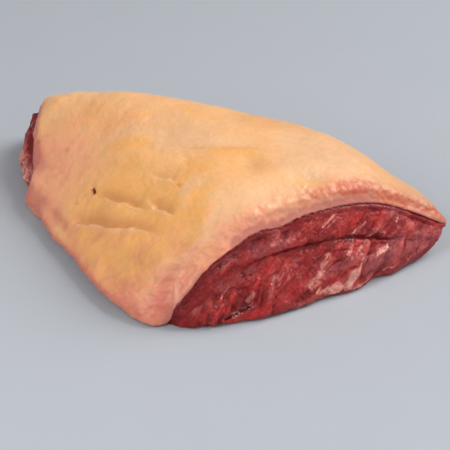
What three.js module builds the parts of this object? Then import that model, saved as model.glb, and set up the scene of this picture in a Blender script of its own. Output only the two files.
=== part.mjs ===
// Picanha: a whole beef rump cap lying fat side up, as two solids. The lean muscle is a rounded
// triangle with a knife cut along its short side, and the fat cap lies over it like a thick rind.
// Millimetres, +Z up. The long straight side runs along X at the back, the thin tip points to +X,
// the underside is flat on Z = 0 and the origin is the middle of the footprint's box.
import * as THREE from "three";

// ---- driving dimensions
const MEAT_CROWN = 56; // height that the top of the muscle would reach far from every side
const FAT_ON_TOP = 10; // thickness of the fat over the crown
const FAT_AT_RIM = 8.3; // and where it ends
const LAYER_GAP = 0.4; // between the two bodies
const LOWEST_RIM = 1.8; // the muscle's upper edge stands at least this high above the board
const KNIFE_LEAN = 0.36; // how far a cut side leans back over the meat, for each unit of height
const WALL_SWELL = 3.2; // how far a cut side swells out halfway down
const FOOT_ROUND = 2.3; // how far it draws in again where it meets the board
const FULL_WALL = 36; // height from which a side swells and draws in that much
const CREASE_DEPTH = 2.8; // of the seam across the cut face, between two lobes of the muscle
const CREASE_REACH = 0.04; // its half width, as a share of the side's height
const TIP_LIFT = 8; // how far the very tip curls up off the board
const TIP_CURL = 30; // length of the tip that curls up
const LIP_ROUND = 1.3; // how far the fat's outside bulges where it comes down to the board

// Plan of the muscle's upper edge: its middle, and the corners between its four sides.
const CENTRE = [-13, 22];
const FRONT = [-3, -67];
const TIP = [110, 75];
const HEEL = [-163, 95];
const ELBOW = [-136, 25];

// The top of the muscle comes down towards these lines: a point on the line, the direction of
// its inward normal in degrees from +X, and the width over which the shoulder is rounded.
const SHOULDERS = [
  { name: "wrapped side", on: [-139, 16.5], facing: 52, width: 93 },
  { name: "front corner", on: [-8, -78], facing: 109, width: 54 },
  { name: "long side", on: [0, 102], facing: 270, width: 50 },
  { name: "thin tip", on: [120.5, 72], facing: 220, width: 99 },
  { name: "cut face", on: [109.5, -157], facing: 140, width: 230 },
];
const SHOULDER_BLEND = 3; // how sharply two shoulders meet
const SHOULDER_ROUND = 1.8; // how full their rounding is

// The sides, anticlockwise seen from above. Each has a number of stations and its traits, most
// of them functions of k, which goes from 0 to 1 along the side:
//   bow    how far the upper edge stands outside the straight line between the corners
//   foot   how far the underside reaches beyond that edge
//   bare   1 where the meat is bare, 0 where the fat wraps it down to the board
//   seam   depth of the crease as a share of CREASE_DEPTH
//   drop   how far down the side the crease runs, as a share of the side's height
const SIDES = [
  {
    name: "cut face",
    from: FRONT,
    to: TIP,
    stations: 9,
    bow: (k) => -2.8 * Math.sin(Math.PI * k),
    foot: (k) => 21.6 * (1 - Math.abs((k - 0.38) / (k < 0.38 ? 0.38 : 0.6)) ** 2),
    bare: 1,
    seam: (k) => Math.min(1, 5 * k * (1 - k)),
    drop: (k) => 0.22 + 0.22 * k + 0.22 * k ** 5,
  },
  {
    name: "long side",
    from: TIP,
    to: HEEL,
    stations: 8,
    bow: (k) => 11 * Math.sin(Math.PI * k),
    foot: () => -4.6,
    bare: 0.6,
  },
  {
    name: "narrow end",
    from: HEEL,
    to: ELBOW,
    stations: 4,
    bow: (k) => 2.8 * Math.sin(Math.PI * k),
    foot: (k) => 8.3 * Math.sin(Math.PI * k),
    bare: 1,
  },
  {
    name: "wrapped side",
    from: ELBOW,
    to: FRONT,
    stations: 7,
    bow: (k) => 8.7 * Math.sin(Math.PI * k ** 2.2),
    foot: () => 0,
    bare: 0,
  },
];
const NO_SEAM = () => 0;
const PLAIN_DROP = () => 0.4;

// ---- facets
const COLUMNS = 84; // around, three to a station
const CAP_ROWS = 14; // from the centre of the dome to its rim
const LIP_ROWS = 6; // over the edge of the fat
const BASE_ROWS = 3; // of the underside
// Rows down the muscle's side: a share of its height, or steps of the crease's half width away
// from the crease.
const WALL_ROWS = [
  { share: 0.12 },
  { crease: -1.75 },
  { crease: 0 },
  { crease: 1.75 },
  { share: 0.62 },
  { share: 0.82 },
  { share: 0.95 },
  { share: 1 },
];

const UP = new THREE.Vector3(0, 0, 1);
const { lerp, smoothstep, clamp, degToRad } = THREE.MathUtils;

// ---- the muscle's top and underside as heights over the plan
function along(x, y, on, facing) {
  return (x - on[0]) * Math.cos(degToRad(facing)) + (y - on[1]) * Math.sin(degToRad(facing));
}

function domeField(x, y) {
  let sum = 0;
  for (const { on, facing, width } of SHOULDERS) {
    sum += Math.max(0, 1 - along(x, y, on, facing) / width) ** SHOULDER_BLEND;
  }
  return MEAT_CROWN * (1 - sum ** (SHOULDER_ROUND / SHOULDER_BLEND));
}

function domeHeight(x, y) {
  return Math.max(LOWEST_RIM, domeField(x, y));
}

function domeNormal(x, y) {
  const slopeX = domeField(x + 1, y) - domeField(x - 1, y);
  const slopeY = domeField(x, y + 1) - domeField(x, y - 1);
  return new THREE.Vector3(-slopeX, -slopeY, 2).normalize();
}

function undersideHeight(x, y) {
  const inside = along(x, y, TIP, 220);
  return TIP_LIFT * clamp(1 - inside / TIP_CURL, 0, 1) ** 2;
}

// ---- the outline: closed curves through the stations, for the plan and for the sides' traits
function outlineCurves() {
  const plan = [];
  const traits = [];
  const seams = [];
  for (const { from, to, stations, bow, foot, bare, seam = NO_SEAM, drop = PLAIN_DROP } of SIDES) {
    const start = new THREE.Vector3(from[0], from[1], 0);
    const end = new THREE.Vector3(to[0], to[1], 0);
    const outward = end.clone().sub(start).normalize().cross(UP);
    for (let i = 0; i < stations; i++) {
      const k = (i + 0.5) / stations;
      plan.push(start.clone().lerp(end, k).addScaledVector(outward, bow(k)));
      traits.push(new THREE.Vector3(foot(k), bare, 0));
      seams.push(new THREE.Vector3(seam(k), drop(k), 0));
    }
  }
  return {
    plan: new THREE.CatmullRomCurve3(plan, true, "centripetal"),
    traits: new THREE.CatmullRomCurve3(traits, true, "catmullrom", 0.5),
    seams: new THREE.CatmullRomCurve3(seams, true, "catmullrom", 0.5),
  };
}
const CURVES = outlineCurves();

// Everything that the surfaces need to know about one place on the outline, turn being 0 to 1.
function outlineAt(turn) {
  const rim = CURVES.plan.getPoint(turn);
  const ahead = CURVES.plan.getPoint((turn + 0.004) % 1);
  const behind = CURVES.plan.getPoint((turn + 0.996) % 1);
  const outward = ahead.sub(behind).normalize().cross(UP);
  const trait = CURVES.traits.getPoint(turn);
  const seam = CURVES.seams.getPoint(turn);
  rim.z = domeHeight(rim.x, rim.y);
  return {
    rim,
    outward,
    knife: outward.clone().addScaledVector(UP, KNIFE_LEAN).normalize(),
    foot: trait.x,
    bare: smoothstep(trait.y, 0, 1),
    seam: clamp(seam.x, 0, 1),
    drop: seam.y,
  };
}

// ---- points of the surfaces
// Where the meat is bare, the knife stops whatever reaches past its plane. The plane stands on
// the rim and leans back over the meat.
function trimmed(place, point) {
  const over = place.knife.dot(point.clone().sub(place.rim));
  return point.addScaledVector(place.knife, -Math.max(0, over) * place.bare);
}

// A point of the dome at share t of the way from the centre to the rim, lifted by a thickness.
function domePoint(place, t, thickness) {
  const x = lerp(CENTRE[0], place.rim.x, t);
  const y = lerp(CENTRE[1], place.rim.y, t);
  const point = new THREE.Vector3(x, y, domeHeight(x, y));
  return trimmed(place, point.addScaledVector(domeNormal(x, y), thickness));
}

// A point of the muscle's side at share f of the way down from the rim to the underside.
function wallPoint(place, f) {
  const tall = Math.min(1, place.rim.z / FULL_WALL);
  const swell = tall * (WALL_SWELL * Math.sin(Math.PI * f) - FOOT_ROUND * smoothstep(f, 0.9, 1));
  const crease = CREASE_DEPTH * place.seam * Math.exp(-(((f - place.drop) / CREASE_REACH) ** 2));
  const out = place.foot * f + swell * place.bare ** 4 - crease;
  const point = place.rim.clone().addScaledVector(place.outward, out);
  point.z = lerp(place.rim.z, undersideHeight(point.x, point.y), f);
  return point;
}

function wallRowPoint(place, { share, crease }) {
  return wallPoint(place, share ?? place.drop + crease * CREASE_REACH);
}

// Rows of the dome are closer together towards the rim, where the shoulder is rounder.
function capShare(row) {
  const r = row / CAP_ROWS;
  return r * (1.45 - 0.45 * r);
}

// A sphere's vertices put where place(outline, row) says: row 0 and the last are single points.
function closedSurface(rows, place) {
  const geometry = new THREE.SphereGeometry(1, COLUMNS, rows);
  const position = geometry.attributes.position;
  for (let i = 0; i < position.count; i++) {
    const column = i % (COLUMNS + 1);
    const row = Math.floor(i / (COLUMNS + 1));
    const point = place(outlineAt((column % COLUMNS) / COLUMNS), row);
    position.setXYZ(i, point.x, point.y, point.z);
  }
  geometry.deleteAttribute("uv");
  geometry.computeVertexNormals();
  return geometry;
}

// ---- muscle: dome, side, underside
function underPoint(place, share) {
  const edge = wallPoint(place, 1);
  const point = new THREE.Vector3(lerp(edge.x, CENTRE[0], share), lerp(edge.y, CENTRE[1], share), 0);
  point.z = undersideHeight(point.x, point.y);
  return point;
}

function muscleGeometry() {
  const wallStart = CAP_ROWS + 1;
  const baseStart = wallStart + WALL_ROWS.length;
  return closedSurface(CAP_ROWS + WALL_ROWS.length + BASE_ROWS, (place, row) => {
    if (row < wallStart) return domePoint(place, capShare(row), 0);
    if (row < baseStart) return wallRowPoint(place, WALL_ROWS[row - wallStart]);
    return underPoint(place, ((row - baseStart + 1) / BASE_ROWS) ** 0.8);
  });
}

// ---- fat cap: outer dome, lip, and an inner dome that follows the muscle
function fatOver(place, t) {
  const inset = t * (1 - 0.03 * place.bare);
  return domePoint(place, inset, lerp(FAT_ON_TOP, FAT_AT_RIM, smoothstep(t, 0.6, 1)));
}

function fatUnder(place, t) {
  return domePoint(place, t, LAYER_GAP);
}

// The lip ends at the knife cut where the meat is bare, and elsewhere runs down to the board and
// back up along the muscle. Rows 1 to 3 go down its outside, 4 and 5 back up its inside.
function fatLip(place, row) {
  const reach = lerp(1, 0.03, place.bare);
  const gap = LAYER_GAP * lerp(3.5, 1, place.bare);
  if (row === 5) return wallPoint(place, reach / 2).addScaledVector(place.outward, gap);
  const innerFoot = wallPoint(place, reach).addScaledVector(place.outward, gap);
  if (row === 4) return innerFoot;
  const away = place.outward.clone().lerp(domeNormal(place.rim.x, place.rim.y), place.bare);
  const thickness = FAT_AT_RIM * lerp(1, 0.86, place.bare);
  const outerFoot = trimmed(place, innerFoot.addScaledVector(away, thickness));
  const fullness = LIP_ROUND * Math.sin((Math.PI * row) / 3) * (1 - place.bare);
  return fatOver(place, 1).lerp(outerFoot, row / 3).addScaledVector(place.outward, fullness);
}

function fatGeometry() {
  return closedSurface(2 * CAP_ROWS + LIP_ROWS, (place, row) => {
    if (row <= CAP_ROWS) return fatOver(place, capShare(row));
    if (row < CAP_ROWS + LIP_ROWS) return fatLip(place, row - CAP_ROWS);
    return fatUnder(place, capShare(2 * CAP_ROWS + LIP_ROWS - row));
  });
}

// ---- assembly
function meshOf(name, geometry, color, roughness) {
  const material = new THREE.MeshStandardMaterial({ color, roughness });
  const mesh = new THREE.Mesh(geometry, material);
  mesh.name = name;
  return mesh;
}

function buildPicanha() {
  const group = new THREE.Group();
  group.add(meshOf("muscle", muscleGeometry(), 0x8e3a3a, 0.45));
  group.add(meshOf("fat_cap", fatGeometry(), 0xe6b482, 0.5));
  const middle = new THREE.Box3().setFromObject(group).getCenter(new THREE.Vector3());
  for (const mesh of group.children) mesh.geometry.translate(-middle.x, -middle.y, 0);
  return group;
}

const picanha = buildPicanha();
export default picanha;
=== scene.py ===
"""A raw picanha, fat side up: the fat cap and the lean meat are carved finely over their solids."""

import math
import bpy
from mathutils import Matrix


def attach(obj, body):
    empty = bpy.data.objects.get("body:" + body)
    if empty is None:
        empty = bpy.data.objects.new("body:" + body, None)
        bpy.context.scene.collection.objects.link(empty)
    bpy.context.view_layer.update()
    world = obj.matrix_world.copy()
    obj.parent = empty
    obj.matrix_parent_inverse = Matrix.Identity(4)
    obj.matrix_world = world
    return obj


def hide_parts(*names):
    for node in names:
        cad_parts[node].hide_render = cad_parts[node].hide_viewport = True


bl_info = {
    "name": "Picanha",
    "version": (1, 0, 0),
    "blender": (4, 5, 0),
    "location": "View3D > Sidebar > Picanha",
    "description": "Carves and colours the fat cap and the lean meat of a raw picanha",
    "category": "Object",
}

from itertools import product

import bmesh
import bpy
import numpy as np
from mathutils import Vector
from mathutils.bvhtree import BVHTree

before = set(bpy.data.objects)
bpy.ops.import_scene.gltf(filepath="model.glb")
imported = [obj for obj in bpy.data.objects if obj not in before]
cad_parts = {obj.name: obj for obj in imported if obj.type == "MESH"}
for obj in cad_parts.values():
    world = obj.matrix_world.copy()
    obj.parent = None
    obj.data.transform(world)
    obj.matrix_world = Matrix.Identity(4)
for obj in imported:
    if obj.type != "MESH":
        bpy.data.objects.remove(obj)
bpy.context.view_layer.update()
MM = 1000.0  # millimetres in a metre
MOST_TRIANGLES = 190000  # in each finished piece

# Millimetres, like the places and reaches below that don't say otherwise. Blender itself is given
# metres: in the choices, the materials and the stage, and where a mesh's own points are used.
GAP_REACH = 40.0  # how far from the bare meat the fat is measured
TOUCHING = 1.2  # closer than this, the two pieces touch
ABOVE = 120  # height from which lines are dropped on the part
AHEAD = 60  # distance out from the cut face from which lines are sent at it

# The cut face stands on a straight line from the front corner to the thin tip. Along it and out of
# it are level directions; a place on the face is given by its way along the line and its height.
CUT_START = np.array((26.8, -80.5, 0.0))
CUT_ALONG = np.array((0.623, 0.783, 0.0))
CUT_OUT = np.array((0.783, -0.623, 0.0))

# The meat's upper edge near the front corner: way along the cut face, and height. It moves up by up
# to CORNER_THINNED, in the direction CORNER_UP. The fat beyond it is squeezed over CORNER_FAT, and
# the meat stretches over CORNER_MEAT.
CORNER_EDGE = ((0, 0), (9.4, 8.2), (18.7, 18), (28.2, 28.4), (37.5, 36.1), (44, 40.3))
CORNER_UP = np.array((-0.70, 0.71))
CORNER_THINNED = 6.0
CORNER_FAT = 9.5
CORNER_MEAT = 9.0

# Where the edge of the fat hangs lower over the cut: way along it, height, reach, and how far down.
EDGE_DROPS = (((68, 46), 10, 4.6), ((96, 47), 28, 2.4))

# Where the foot of the wrapped side is drawn in, or out where below 0: place in plan, reach and way.
FOOT_PULLS = (
    ((12, -86), 12, 1.2),
    ((-4, -80), 24, 2.8),
    ((-40, -55), 26, 0.5),
    ((-68, -31), 16, -3.0),
    ((-84, -16), 16, -1.5),
    ((-97, 2), 13, -1.8),
)
FOOT_INWARD = np.array((0.42, 0.91, 0.0))

# Along this line in plan the fat's lower edge hangs over a hollow against the floor.
OVERHANG = ((-92, -8), (-70, -28), (-40, -54), (-12, -76), (4, -84))
OVERHANG_DEPTH = 9.0

# The muscle's fibres rise towards the thin tip.
FIBRE = np.array((0.50, 0.62, 0.60))
FIBRE = FIBRE / np.linalg.norm(FIBRE)
ACROSS = np.cross(FIBRE, CUT_OUT)
ACROSS = ACROSS / np.linalg.norm(ACROSS)
DEEP = np.cross(FIBRE, ACROSS)


# ---------------------------------------------------------------- sizes and colours


def colour(name, description, shade):
    """A colour that a user may change."""
    return bpy.props.FloatVectorProperty(
        name=name, description=description, default=shade, subtype="COLOR", size=3, min=0, max=1
    )


def length(name, description, metres):
    """A length that a user may change."""
    return bpy.props.FloatProperty(
        name=name, description=description, default=metres, unit="LENGTH", precision=5
    )


def angle(name, description, degrees):
    """An angle that a user may change."""
    return bpy.props.FloatProperty(
        name=name, description=description, default=math.radians(degrees), subtype="ANGLE"
    )


def power(name, description, watts):
    """A lamp's power that a user may change."""
    return bpy.props.FloatProperty(name=name, description=description, default=watts, unit="POWER")


class FatChoices(bpy.types.PropertyGroup):
    """Sizes and colours of the fat cap"""

    grain: length("Grain", "Size of the faces on the fat's skin", 0.00084)
    swell: length("Swell", "Height of the broad soft swells", 0.0009)
    ripple: length("Ripple", "Height of the small ripples", 0.00022)
    fold_depth: length("Fold depth", "Depth of the two long folds", 0.0019)
    nick_depth: length("Nick depth", "Depth of the nick and the pits", 0.0022)
    # Cream is also laid on as a painted highlight on the fold lips, the corner ridge and the rims.
    cream: colour("Cream", "Where the fat is pale", (0.90, 0.51, 0.265))
    butter: colour("Butter", "Where the fat is yellow", (0.93, 0.445, 0.132))
    pink: colour("Pink", "Where the fat is thin over the meat", (0.95, 0.355, 0.215))
    # Side is the cut sides' own redder colour, darkened as painted shade on the steep sides that the lamps
    # reach less.
    side: colour("Side", "The sides where the cap was cut", (0.62, 0.18, 0.125))
    flush: colour("Flush", "Where the rim is stained by the meat", (0.66, 0.125, 0.060))
    cut_band: colour("Cut band", "The glassy fat beside the meat", (0.60, 0.185, 0.135))
    # Painted shade: the brown laid into the folds' banks, the crease, the dimple and round the pits.
    hollow_shade_colour: colour("Fold brown", "The bottom of the folds", (0.62, 0.235, 0.07))
    blood: colour("Blood", "The bottom of the nick", (0.16, 0.014, 0.008))
    # Seam is the fat's own red edge beside the meat, darkened as painted shade in the gap between them.
    seam: colour("Seam", "The last of the fat beside the meat", (0.28, 0.03, 0.026))


class MeatChoices(bpy.types.PropertyGroup):
    """Sizes and colours of the lean meat"""

    grain: length("Grain", "Size of the faces on the meat's walls", 0.0007)
    lobe: length("Lobe", "Height of the broad lobes", 0.0011)
    bundle: length("Bundle", "Height of the fibre bundles", 0.0006)
    crease_depth: length("Crease depth", "How far the crease is cut in deeper", 0.0019)
    red: colour("Red", "The lean meat", (0.37, 0.021, 0.019))
    # The dark end of the meat's own tone, and the painted shade in splits, the crease, the slit, the
    # notches, the grooves and under the fat.
    dark_and_shade: colour("Dark", "Deep places and old cuts", (0.15, 0.008, 0.010))
    # Bright is also laid on as painted light on the crests of the upright folds.
    bright: colour("Bright", "Freshly cut meat", (0.60, 0.032, 0.025))
    rose: colour("Rose", "Pale fibres in the meat", (0.54, 0.105, 0.09))
    film: colour("Film", "The thin skin over the muscle", (0.31, 0.082, 0.088))
    marbling: colour("Marbling", "Thin fat between the fibres", (0.92, 0.42, 0.34))
    # Painted highlight: tiny glints laid into the colour of the wet places.
    painted_glint: colour("Glint", "Tiny bright spots where the meat is wet", (1.0, 0.62, 0.58))


class StageChoices(bpy.types.PropertyGroup):
    """The floor, the light and the camera"""

    turn: angle("Turn", "Way round the camera stands", 24)
    rise: angle("Rise", "Height the camera looks down from", 32)
    distance: length("Distance", "From the camera to the meat", 1.012)
    lens: bpy.props.FloatProperty(name="Lens", description="Focal length", default=146.67, unit="CAMERA")
    floor: colour("Floor", "The floor", (0.42, 0.445, 0.482))
    daylight: colour("Daylight", "The light from all round", (1.0, 1.0, 1.0))
    daylight_power: bpy.props.FloatProperty(name="Daylight power", description="Its strength", default=0.26)
    key_power: power("Key power", "The large soft lamp on the right", 49.0)
    fill_power: power("Fill power", "The weak soft lamp at the front left", 4.1)
    side_power: power("Side power", "The weak soft lamp before the cut face", 1.5)


# ---------------------------------------------------------------- material tools


class Wire:
    """A value in a material. Python's operators on it add Math nodes."""

    def __init__(self, finish, socket):
        self.finish = finish
        self.socket = socket

    def __add__(self, other):
        return self.finish.maths("ADD", self, other)

    __radd__ = __add__

    def __mul__(self, other):
        return self.finish.maths("MULTIPLY", self, other)

    __rmul__ = __mul__

    def __sub__(self, other):
        return self.finish.maths("SUBTRACT", self, other)

    def __rsub__(self, other):
        return self.finish.maths("SUBTRACT", other, self)


class Finish:
    """A material and the nodes in it."""

    def __init__(self, name):
        self.material = bpy.data.materials.new(name)
        self.material.use_nodes = True
        self.tree = self.material.node_tree
        self.tree.nodes.clear()
        self.place = self.add("ShaderNodeTexCoord", output="Object")

    def add(self, kind, settings=None, values=None, output=0):
        """A node with its settings, then its sockets' values or wires. Its output comes back as a wire."""
        node = self.tree.nodes.new(kind)
        for key, value in (settings or {}).items():
            setattr(node, key, value)
        for key, value in (values or {}).items():
            if isinstance(value, Wire):
                self.tree.links.new(value.socket, node.inputs[key])
            else:
                node.inputs[key].default_value = value
        return Wire(self, node.outputs[output]) if node.outputs else None

    def maths(self, operation, *values):
        """A Math node."""
        return self.add("ShaderNodeMath", {"operation": operation}, dict(enumerate(values)))

    def held(self, value):
        """A value kept between 0 and 1."""
        return self.add("ShaderNodeClamp", None, {"Value": value})

    def step(self, value, low, high):
        """0 below low and 1 above high, with a soft change between."""
        settings = {"interpolation_type": "SMOOTHSTEP"}
        return self.add("ShaderNodeMapRange", settings, {"Value": value, "From Min": low, "From Max": high})

    def swing(self, value, gain):
        """A value between 0 and 1 made to swing round 0."""
        return (value - 0.5) * gain

    def stored(self, name):
        """A number that was stored on the mesh."""
        return self.add("ShaderNodeAttribute", {"attribute_name": name}, output="Fac")

    def cloud(self, scale, detail=3.0, rough=0.55, place=None):
        """Noise between 0 and 1, with scale swells in a metre."""
        values = {"Vector": place or self.place, "Scale": scale, "Detail": detail, "Roughness": rough}
        return self.add("ShaderNodeTexNoise", None, values)

    def cells(self, place, feature="F1", output="Distance"):
        """Cells one unit across."""
        values = {"Vector": place, "Scale": 1.0}
        return self.add("ShaderNodeTexVoronoi", {"feature": feature}, values, output)

    def shifted(self, place, scale, amount):
        """A place pushed about by soft noise."""
        values = {"Vector": place, "Scale": scale, "Detail": 2.0}
        push = self.add("ShaderNodeTexNoise", None, values, "Color")
        push = self.add("ShaderNodeVectorMath", {"operation": "SCALE"}, {0: push, 3: amount})
        return self.add("ShaderNodeVectorMath", {"operation": "ADD"}, {0: place, 1: push})

    def along(self, direction, scale):
        """How far a place is in one direction, times scale."""
        values = {0: self.place, 1: tuple(direction)}
        reach = self.add("ShaderNodeVectorMath", {"operation": "DOT_PRODUCT"}, values, output="Value")
        return reach * scale

    def grained(self, directions, sizes):
        """The place in turned axes, stretched so that one unit is each size in millimetres."""
        parts = {k: self.along(d, MM / s) for k, (d, s) in enumerate(zip(directions, sizes))}
        return self.add("ShaderNodeCombineXYZ", None, parts)

    def mixed(self, share, first, second):
        """Two colours mixed."""
        values = {0: share}
        for key, value in ((6, first), (7, second)):
            values[key] = value if isinstance(value, Wire) else (*value, 1.0)
        return self.add("ShaderNodeMix", {"data_type": "RGBA"}, values, output=2)

    def lit(self, shade, factor):
        """A colour made lighter or darker."""
        values = {0: shade, 3: factor}
        return self.add("ShaderNodeVectorMath", {"operation": "SCALE"}, values)

    def bumped(self, height, distance):
        """A fine relief as a normal."""
        return self.add("ShaderNodeBump", None, {"Height": height, "Distance": distance})

    def shader(self, values):
        """The surface itself."""
        body = self.add("ShaderNodeBsdfPrincipled", None, values)
        self.add("ShaderNodeOutputMaterial", None, {"Surface": body})
        return self.material


# ---------------------------------------------------------------- carving tools


def smooth(low, high, value):
    """0 below low and 1 above high, with a soft change between."""
    share = np.clip((value - low) / (high - low), 0, 1)
    return share * share * (3 - 2 * share)


def bell(distance, reach):
    """1 at no distance, fading softly away."""
    return np.exp(-((distance / reach) ** 2))


def tapered(share, first, last):
    """1 from first to last along a line, fading to 0 at both of its ends."""
    return smooth(0, first, share) * smooth(1.0, last, share)


def wander(points, sizes, seed):
    """Smooth noise from -1 to 1 with one swell in each size, in millimetres."""
    wide = 24
    table = np.random.default_rng(seed).uniform(-1, 1, (wide, wide, wide))
    place = points / np.asarray(sizes, float) + 57.3 + seed
    cell = np.floor(place).astype(int)
    part = place - cell
    part = part * part * (3 - 2 * part)
    total = np.zeros(len(points))
    for corner in product((0, 1), repeat=3):
        weight = np.prod(np.where(corner, part, 1 - part), axis=1)
        near_cell = (cell + corner) % wide
        total += weight * table[near_cell[:, 0], near_cell[:, 1], near_cell[:, 2]]
    return total


def fractal(points, size, seed, octaves=3, rough=0.5):
    """Wandering at several sizes added up, each turned a little."""
    turn = np.array(((0.80, -0.36, 0.48), (0.60, 0.48, -0.64), (0.0, 0.80, 0.60)))
    total = 0
    height = 1.0
    for k in range(octaves):
        total = total + height * wander(points, size, seed + k)
        points = points @ turn.T
        size = size / 2
        height = height * rough
    return total


def fibres(points, sizes, seed):
    """Wandering drawn out along the muscle's fibres."""
    turned = points @ np.stack((FIBRE, ACROSS, DEEP)).T
    return wander(turned, sizes, seed)


def plan_reach(points, place):
    """How far each point is from a place, in plan."""
    return np.hypot(points[:, 0] - place[0], points[:, 1] - place[1])


def from_cut(points):
    """How far each point is along the cut face, and out of it."""
    ways = points - CUT_START
    return ways @ CUT_ALONG, ways @ CUT_OUT


def near(points, line):
    """Each point's distance to a line of points, its share of the way along it, and the step from it."""
    distance = np.full(len(points), 1e9)
    share = np.zeros(len(points))
    step = np.zeros_like(points)
    for k, spot in enumerate(line):
        gap = points - spot
        reach = np.einsum("ij,ij->i", gap, gap)
        closer = reach < distance
        distance[closer] = reach[closer]
        share[closer] = k / max(len(line) - 1, 1)
        step[closer] = gap[closer]
    return np.sqrt(distance), share, step


def drawn(stations, spacing=1.0):
    """A smooth line along a few stations, with points about this many millimetres apart."""
    stations = np.asarray(stations, float)
    lengths = np.r_[0, np.cumsum(np.linalg.norm(np.diff(stations, axis=0), axis=1))]
    ways = np.linspace(0, lengths[-1], max(int(lengths[-1] / spacing), 2))
    line = np.stack([np.interp(ways, lengths, stations[:, k]) for k in range(stations.shape[1])], axis=1)
    for _ in range(6):
        line[1:-1] = (line[:-2] + 2 * line[1:-1] + line[2:]) / 4
    return line


def landed(tree, starts, direction):
    """Where lines from these starts meet the surface."""
    direction = Vector(direction)
    found = [tree.ray_cast(Vector(s), direction)[0] for s in starts]
    return np.array([tuple(p) for p in found if p is not None])


def from_above(tree, stations):
    """A line on the top, from its places in plan."""
    line = drawn(stations)
    return landed(tree, [(x, y, ABOVE) for x, y in line], (0, 0, -1))


def on_cut(tree, stations):
    """A line on the cut face, from its way along the face and its height."""
    line = drawn(stations)
    starts = [CUT_START + CUT_ALONG * u + CUT_OUT * AHEAD + np.array((0, 0, z)) for u, z in line]
    return landed(tree, starts, -CUT_OUT)


def tree_of(mesh):
    """A search tree of a mesh, in millimetres."""
    points = [v.co * MM for v in mesh.vertices]
    return BVHTree.FromPolygons(points, [tuple(p.vertices) for p in mesh.polygons])


def eased_tree(node, keep=None):
    """A search tree of a CAD node once it is eased, of all its faces or those kept."""
    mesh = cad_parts[node].data
    points = read(mesh)[0]
    faces = [tuple(p.vertices) for p in mesh.polygons if keep is None or keep(p)]
    return BVHTree.FromPolygons([Vector(p) for p in eased(points)], faces)


def reach_to(tree, points, most):
    """Each point's distance to a tree's surface, up to a limit."""
    found = (tree.find_nearest(p, most)[3] for p in points)
    return np.array([most if d is None else d for d in found])


def eased(points):
    """Thins the fat at the front corner, lowers its edge, draws in the foot and narrows the tip."""
    along, out = from_cut(points)
    height = points[:, 2]
    _, share, step = near(np.stack((along, height), axis=1), drawn(CORNER_EDGE))
    beyond = step @ CORNER_UP
    push = np.where(beyond > 0, np.clip(1 - beyond / CORNER_FAT, 0, 1), bell(beyond, CORNER_MEAT))
    push = push * CORNER_THINNED * smooth(0, 0.22, share) * smooth(1.05, 0.5, share) * smooth(-26, -5, out)
    pull = np.zeros(len(points))
    for place, reach, inward in FOOT_PULLS:
        pull = pull + inward * bell(plan_reach(points, place), reach)
    pull = pull * smooth(14, 0, height)
    distance, share, _ = near(points[:, :2], drawn(OVERHANG, 3.0))
    hollow = smooth(22, 12, distance) * tapered(share, 0.2, 0.8)
    pull += hollow * (OVERHANG_DEPTH * smooth(5.5, 0, height) - 1.6 * bell(height - 7, 4))
    tip = smooth(150, 172, along)
    reach = tip * (4.2 * smooth(8, 14, height) - 2.0 * smooth(9, 3, height)) + CORNER_UP[0] * push
    lift = 6.5 * smooth(153, 173, along) * np.clip(1 - height / 18, 0, 1)
    lift += CORNER_UP[1] * push * smooth(0, 6, height)
    for (way, rise), spread, drop in EDGE_DROPS:
        sag = drop * bell(np.hypot(along - way, height - rise), spread)
        lift = lift - sag * smooth(-30, -16, out) * smooth(2, 14, height)
    points = points + CUT_ALONG * reach[:, None] + FOOT_INWARD * pull[:, None]
    points[:, 2] += lift
    return points


def read(mesh):
    """A mesh's points in millimetres, and its normals."""
    points = np.zeros(len(mesh.vertices) * 3, np.float32)
    mesh.vertices.foreach_get("co", points)
    normals = np.zeros(len(mesh.vertices) * 3, np.float32)
    mesh.vertex_normals.foreach_get("vector", normals)
    return points.reshape(-1, 3).astype(float) * MM, normals.reshape(-1, 3).astype(float)


def write(mesh, points):
    """Puts moved points back, none of them under the floor."""
    points[:, 2] = np.maximum(points[:, 2], 0)
    mesh.vertices.foreach_set("co", (points / MM).astype(np.float32).ravel())
    mesh.update()


class Layers(dict):
    """Numbers for each point of a piece, by name, for its material to read."""

    def raised(self, name, values):
        """Lifts a layer to these values where they are higher."""
        self[name] = np.maximum(self.get(name, 0.0), values)

    def store(self, mesh):
        """Keeps them on the mesh, held between 0 and 1."""
        for name, values in self.items():
            layer = mesh.attributes.new(name, "FLOAT", "POINT")
            layer.data.foreach_set("value", np.clip(values, 0, 1).astype(np.float32))


def merged_copy(node, name):
    """A CAD node's mesh as a new object, with its corners joined and its triangles paired."""
    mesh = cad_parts[node].data.copy()
    mesh.materials.clear()
    shape = bmesh.new()
    shape.from_mesh(mesh)
    bmesh.ops.remove_doubles(shape, verts=shape.verts, dist=1e-6)
    bmesh.ops.join_triangles(
        shape, faces=shape.faces, angle_face_threshold=0.7, angle_shape_threshold=0.9
    )
    shape.to_mesh(mesh)
    shape.free()
    piece = bpy.data.objects.new(name, mesh)
    bpy.context.collection.objects.link(piece)
    return piece


def settle(piece):
    """Makes a piece's modifiers part of its mesh."""
    graph = bpy.context.evaluated_depsgraph_get()
    old = piece.data
    mesh = bpy.data.meshes.new_from_object(piece.evaluated_get(graph))
    piece.modifiers.clear()
    piece.data = mesh
    bpy.data.meshes.remove(old)
    mesh.name = piece.name
    mesh.shade_smooth()


def refined(node, name, grain):
    """A finely and evenly meshed copy of a CAD node, with its facets rounded away."""
    piece = merged_copy(node, name)
    rounding = piece.modifiers.new("Rounding", "SUBSURF")
    rounding.levels = 2
    rounding.render_levels = 2
    even = piece.modifiers.new("Even", "REMESH")
    even.mode = "VOXEL"
    even.voxel_size = grain
    soft = piece.modifiers.new("Soft", "SMOOTH")
    soft.factor = 0.5
    soft.iterations = 10
    settle(piece)
    write(piece.data, eased(read(piece.data)[0]))
    return piece


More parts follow.
